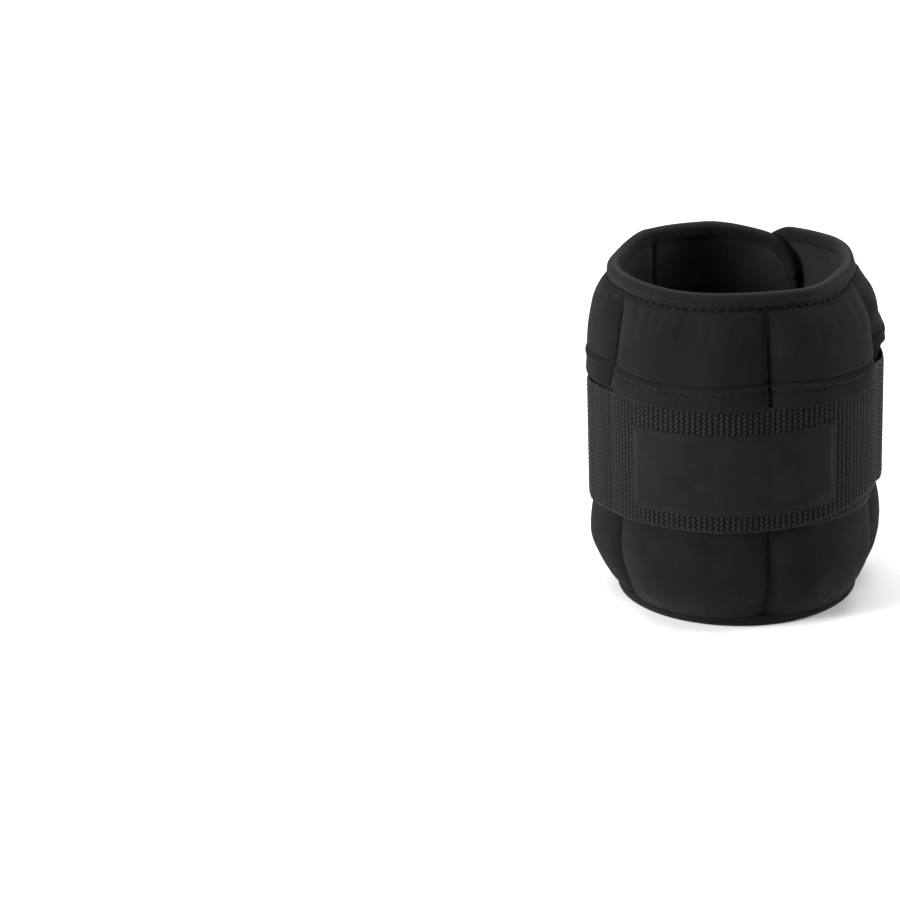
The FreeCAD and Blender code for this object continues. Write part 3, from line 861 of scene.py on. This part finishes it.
def tape_section(count=18):
    """A rounded square, as offsets from the tape's centre line."""
    angle = np.linspace(0, math.tau, count, endpoint=False)
    power = 2 / 2.6
    side = TAPE_SIDE * np.sign(np.cos(angle)) * np.abs(np.cos(angle)) ** power
    up = TAPE_UP * np.sign(np.sin(angle)) * np.abs(np.sin(angle)) ** power
    return side, up


def longer_inside(section, edge_side):
    """The tape is wider and reaches further on its inner side. edge_side is 1 for a top edge."""
    side, up = section
    inner_leg = (side < 0) & (up * edge_side < 0)
    return np.where(side < 0, side * 1.25, side), np.where(inner_leg, up * 1.7, up)


def tape_run(turns, edge_height, inward, section):
    """Grid of a tape along the wall's top or bottom edge. inward is -1 at the top and 1 below."""
    slope = np.gradient(edge_height, wrap_length(turns, 3))
    norm = np.sqrt(1 + slope ** 2)
    side, up = section
    height = edge_height[:, None] + (inward * TAPE_UP + up[None]) / norm[:, None]
    shift = -(inward * TAPE_UP + up[None]) * slope[:, None] / norm[:, None]
    radius = LEG + TAPE_OUT + np.where(turns > STEP_FROM, STEP, 0)
    moved = turns[:, None] + np.degrees(shift / radius[:, None])
    out = TAPE_OUT + side[None] + 0 * height
    return at_height(wrap_point(moved, out), height)


def tape_uv(along, count):
    """UV in millimetres, from lengths along the tape and the points round its section."""
    around = np.linspace(0, TAPE_WIDE, count)[None]
    along = np.broadcast_to(along, (len(along), count))
    return np.stack([along, np.broadcast_to(around, along.shape)], -1)


def tape_turns():
    """Columns for the tape, closest together where it rounds the corners of the free ends."""
    corner = 0.02 * np.linspace(0, 16, 22) ** 2
    turns = [columns_for(INNER_TIP, OUTER_TIP, 1.1), INNER_TIP + corner, OUTER_TIP - corner]
    return np.unique(np.round(np.concatenate(turns), 5))


def make_edge_tapes():
    """Tape along the rim and the foot."""
    turns = tape_turns()
    inset = edge_inset(turns)
    centre = TAPE_CENTRE + TAPE_STEP * smooth(turns, SEAMS[0] - 3, SEAMS[0] + 3)
    nodes = stands_for("edge_binding_{}", {
        0: ["edge_binding_inner_end", "edge_binding_1"], LAST_BAND: ["edge_binding_outer_end"]})
    for name, edge, inward in (
        ("rim_tape", HEIGHT - inset + rim_sway(turns), -1), ("foot_tape", inset, 1),
    ):
        grid = tape_run(turns, edge, inward, longer_inside(tape_section(), -inward))
        moved = (centre - TAPE_OUT)[:, None] + tuck(turns[:, None], grid[..., 2])
        grid[..., :2] += moved[..., None] * facing(turns)[:, None]
        normals = vertex_normals(grid)
        uv = tape_uv(wrap_length(turns, 3)[:, None], grid.shape[1])
        for band in BANDS:
            inside = in_band(turns, band)
            item = grid_piece(f"{name}_{band + 1}", grid[inside], normals[inside], uv[inside], TAPE)
            bend_with_band(item)
            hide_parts(*nodes(band))


def make_end_tapes():
    """Tape up both free ends, between their corners. sign says which way the wall runs on."""
    side, up = tape_section()
    for name, tip, band, sign, radius, centre, step in (
        ("inner_end_tape", INNER_TIP, 0, 1, INNER_ROUND, TAPE_CENTRE, 0),
        ("outer_end_tape", OUTER_TIP, LAST_BAND, -1, OUTER_ROUND, TAPE_CENTRE + TAPE_STEP, STEP),
    ):
        heights = np.linspace(radius * 0.9, HEIGHT + rim_sway(tip) - radius * 0.9, 90)[:, None]
        moved = tip + sign * np.degrees((TAPE_UP - up) / (LEG + centre + step))
        moved = np.broadcast_to(moved[None], (len(heights), len(side)))
        high = np.broadcast_to(heights, moved.shape)
        grid = at_height(wrap_point(moved, centre + side[None] + tuck(moved, high)), high)
        if sign < 0:
            grid = grid[:, ::-1]
        item = grid_piece(name, grid, vertex_normals(grid), tape_uv(heights, len(side)), TAPE)
        bend_with_band(item)


# ------------------------------------------------------------------ stitches
def stitch_shape(length, thick, sides=8, rings=7):
    """A thread lying proud of the cloth and dipping in at both ends: points, sides and caps."""
    angle = np.linspace(0, math.tau, sides, endpoint=False)
    place = np.linspace(-1, 1, rings)
    reach = np.sqrt(np.clip(1 - place ** 4, 0.02, 1))
    x = np.repeat(place * length / 2, sides)
    y = (reach[:, None] * np.cos(angle)[None] * thick / 2).ravel()
    z = (reach[:, None] * np.sin(angle)[None] * thick / 2).ravel()
    z = z - np.repeat(np.abs(place) ** 3 * thick * 0.7, sides)
    index = np.arange(rings * sides).reshape(rings, sides)
    after = np.roll(index, -1, 1)
    quads = np.stack([index[:-1], after[:-1], after[1:], index[1:]], -1).reshape(-1, 4)
    return np.stack([x, y, z], -1), quads, np.stack([index[0][::-1], index[-1]])


def stitch_row(name, places, surface, length, thick):
    """Stitches at (turn, height) places on a face out = surface(turn, height)."""
    shape, quads, caps = stitch_shape(length, thick)
    turn, height = np.array(places, float).T
    small = 0.05

    def spot(t, h):
        return at_height(wrap_point(t, surface(t, h) + tuck(t, h)), h)

    def repeated(faces, count):
        first = np.arange(count) * len(shape)
        return (faces[None] + first[:, None, None]).reshape(-1, faces.shape[1])

    centre = spot(turn, height)
    along = spot(turn + small, height) - spot(turn - small, height)
    along /= np.linalg.norm(along, axis=1)[:, None]
    up = spot(turn, height + small) - spot(turn, height - small)
    normal = np.cross(along, up)
    normal /= np.linalg.norm(normal, axis=1)[:, None]
    basis = np.stack([along, np.cross(normal, along), normal], 1)
    verts = centre[:, None] + np.einsum("kj,njd->nkd", shape, basis) + normal[:, None] * thick * 0.15
    for band, (low, high) in enumerate(BAND_ENDS):
        part = verts[(turn >= low) & (turn < high)]
        if not len(part):
            continue
        faces = [repeated(quads, len(part)), repeated(caps, len(part))]
        uv = np.tile(shape[:, :2], (len(part), 1))
        item = build_mesh(f"{name}_{band + 1}", part.reshape(-1, 3), faces, None, uv, THREAD)
        bend_with_band(item)


def row_places(start, end, pitch, height):
    """Even places along the wall between two plan angles, at the height of each angle."""
    turns = np.linspace(start, end, 4000)
    lengths = wrap_length(turns)
    count = int((lengths[-1] - lengths[0]) / pitch)
    at = np.interp(lengths[0] + pitch * (np.arange(count) + 0.5), lengths, turns)
    return list(zip(at, height(at)))


def make_stitches():
    """The rows of stitches under the rim, and along the hem where the straps leave it level."""

    def on_flap(height):
        return lambda turn, _: flap_out(turn, height) + 0.05

    start, end = SEAMS[0] + 1, SEAMS[-1] - 1
    places = row_places(start, end, 3.9, lambda turn: settle(turn, RIM_STITCH + 0 * turn))
    stitch_row("rim_stitches", places, on_flap(RIM_STITCH), 3.0, 1.0)
    places = row_places(start, end, 3.0, lambda turn: HEM_STITCH + 0 * turn)
    places = [place for place in places if hem_rise(place[0]) < 0.05]
    stitch_row("hem_stitches", places, on_flap(HEM_STITCH), 2.1, 0.5)


# ------------------------------------------------------------------ bent webbing at the ring
TAB_SEWN, TAB_NEAR = -101.0, -106.0     # the ring's tab lies flat from one to the other


def strip(name, path, low, wide, body, node):
    """Webbing that stands on edge along a plan path, with woven faces on both sides."""
    path = np.array(path, float)
    gaps = np.linalg.norm(np.diff(path, axis=0), axis=1)
    along = np.concatenate([[0], np.cumsum(gaps)])
    even = np.arange(0, along[-1], 0.4)
    line = np.stack([np.interp(even, along, path[:, k]) for k in (0, 1)], -1)
    for _ in range(6):
        line[1:-1] = (line[:-2] + 2 * line[1:-1] + line[2:]) / 4
    heading = np.gradient(line, axis=0)
    heading /= np.linalg.norm(heading, axis=1)[:, None]
    left = np.stack([heading[:, 1], -heading[:, 0]], -1)
    up, edge, ribbed, side = across_strap(wide, 100)
    half = STRAP_THICK / 2 * side
    woven = (weave(even[:, None], up) - 0.5) * ribbed
    # relief height that the webbing's colour turns into painted shade in the gaps and a painted
    # highlight on the loops
    raised = 0.5 + woven * (edge > PLAIN_EDGE)
    front = half + WEAVE_BENT * woven
    back = -(half + WEAVE_BENT * 0.4 * (weave(even[:, None] + 1, up) - 0.5))
    off = np.concatenate([front, back[:, ::-1]], 1)
    high = low + np.concatenate([up, up[:, ::-1]], 1) + 0 * off
    grid = at_height(line[:, None] + left[:, None] * off[..., None], high)
    uv = np.stack([np.broadcast_to(even[:, None], off.shape), high], -1)
    raised = np.concatenate([raised, raised[:, ::-1]], 1)
    item = grid_piece(name, grid, vertex_normals(grid), uv, WEBBING, raised)
    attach(item, body)
    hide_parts(node)


def bar_points():
    """Plan centres of the ring's two upright bars: free bar, then the bar in the tab."""
    middle, reach = 71, 24          # heights that miss the bars' rounded ends
    mesh = frame["nodes"]["ring"].data
    plan = np.array([v.co[:2] for v in mesh.vertices if abs(v.co[2] / MM - middle) < reach]) / MM
    spread = plan - plan.mean(0)
    _, _, axes = np.linalg.svd(spread, full_matrices=False)
    side = spread @ axes[0]
    bars = plan[side < 0].mean(0), plan[side >= 0].mean(0)
    return sorted(bars, key=lambda bar: math.atan2(bar[0], -bar[1]))


def round_bar(bar, start, end, reach):
    """Plan path from start, round the far side of a bar, to end."""
    away = bar - (np.array(start) + np.array(end)) / 2
    away /= np.linalg.norm(away)
    across = np.array([-away[1], away[0]])
    if across @ (np.array(end) - np.array(start)) < 0:
        across = -across
    angles = np.radians(np.linspace(-90, 90, 15))
    arc = [bar + away * reach * math.cos(a) + across * reach * math.sin(a) for a in angles]
    return [start] + arc + [end]


def make_ring_webbing():
    """The strap's turn round the ring's free bar, and the tab that holds its other bar."""
    free, held = bar_points()
    reach = RING_WIRE + 0.2 + STRAP_THICK / 2
    inner = wrap_point(STRAP_END, base_strap_out(STRAP_END) + STRAP_THICK / 2)
    outer = wrap_point(STRAP_END, tail_out(STRAP_END) + STRAP_THICK / 2)
    path = round_bar(free, inner, outer, reach)
    strip("strap_turn_webbing", path, STRAP_LOW, STRAP_WIDE, "outer_end", "strap_turn")

    def on_strap(turn, layers):
        return wrap_point(turn, base_strap_out(turn) + STRAP_THICK * layers)

    under, over = 1.6, 2.7          # the tab's two legs, in layers of webbing above the pockets
    path = round_bar(held, on_strap(TAB_NEAR, under), on_strap(TAB_NEAR, over), reach)
    path = [on_strap(TAB_SEWN, under)] + path + [on_strap(TAB_SEWN, over)]
    strip("ring_tab_webbing", path, STRAP_LOW + 1, STRAP_WIDE - 2, "segment_1", "ring_tab")


def dress_ring():
    """The ring keeps its CAD mesh."""
    item = frame["nodes"]["ring"]
    item.data.materials.clear()
    item.data.materials.append(NICKEL)


# ------------------------------------------------------------------ stage
LAMPS = (                       # name, place and size in metres, and power in watts
    ("left", (-1.45, -0.7, 0.75), 0.8, 62),
    ("right", (1.5, 0.3, 0.6), 0.8, 30),
    ("top", (0.0, 0.5, 2.4), 2.6, 70),
)
LIT_POINT = (0, 0, 0.07)


def make_stage():
    """A pale floor, a faint even sky and three soft lamps."""
    mesh = bpy.data.meshes.new("floor")
    far = 6.0
    corners = [(-far, -far, 0), (far, -far, 0), (far, far, 0), (-far, far, 0)]
    mesh.from_pydata(corners, [], [(0, 1, 2, 3)])
    mesh.materials.append(new_material("pale_floor", (0.9, 0.9, 0.9), 0.9)[0])
    floor = put_in_scene("floor", mesh)
    world = bpy.data.worlds.new("studio")
    bpy.context.scene.world = world
    world.use_nodes = True
    background = world.node_tree.nodes["Background"]
    background.inputs["Color"].default_value = (1, 1, 1, 1)
    background.inputs["Strength"].default_value = 0.12
    for name, place, size, power in LAMPS:
        light = bpy.data.lights.new(name, "AREA")
        light.size = size
        light.energy = power
        lamp = put_in_scene(name, light)
        lamp.location = place
        heading = Vector(LIT_POINT) - Vector(place)
        lamp.rotation_euler = heading.to_track_quat("-Z", "Y").to_euler()


def make_camera():
    """The cuff stands upright in the right half of the frame, seen from a little above."""
    lens, sensor = 108.7, 36.0
    across, up = 0.636, 0.060          # where the cuff's middle lies, in half frames
    eye = Vector((0.0, -1.020, 0.425))
    look = (Vector((0, 0, HEIGHT * MM / 2)) - eye).normalized()
    right = look.cross(Vector((0, 0, 1))).normalized()
    half = sensor / 2 / lens
    aim = Vector((across * half, up * half, -1)).normalized()
    side = Vector((1, 0, across * half)).normalized()
    world = Matrix((look, right, look.cross(right))).transposed()
    local = Matrix((aim, side, aim.cross(side)))
    data = bpy.data.cameras.new("camera")
    data.lens = lens
    data.sensor_width = sensor
    camera = put_in_scene("camera", data)
    camera.matrix_world = Matrix.Translation(eye) @ (world @ local).to_4x4()
    bpy.context.scene.camera = camera
    bpy.context.scene.view_settings.view_transform = "Standard"


make_stage()
make_camera()
make_panel()
make_pouch()
make_bags()
make_flap()
make_straps()
make_tip()
make_hook()
make_label()
make_edge_tapes()
make_end_tapes()
make_stitches()
make_ring_webbing()
dress_ring()
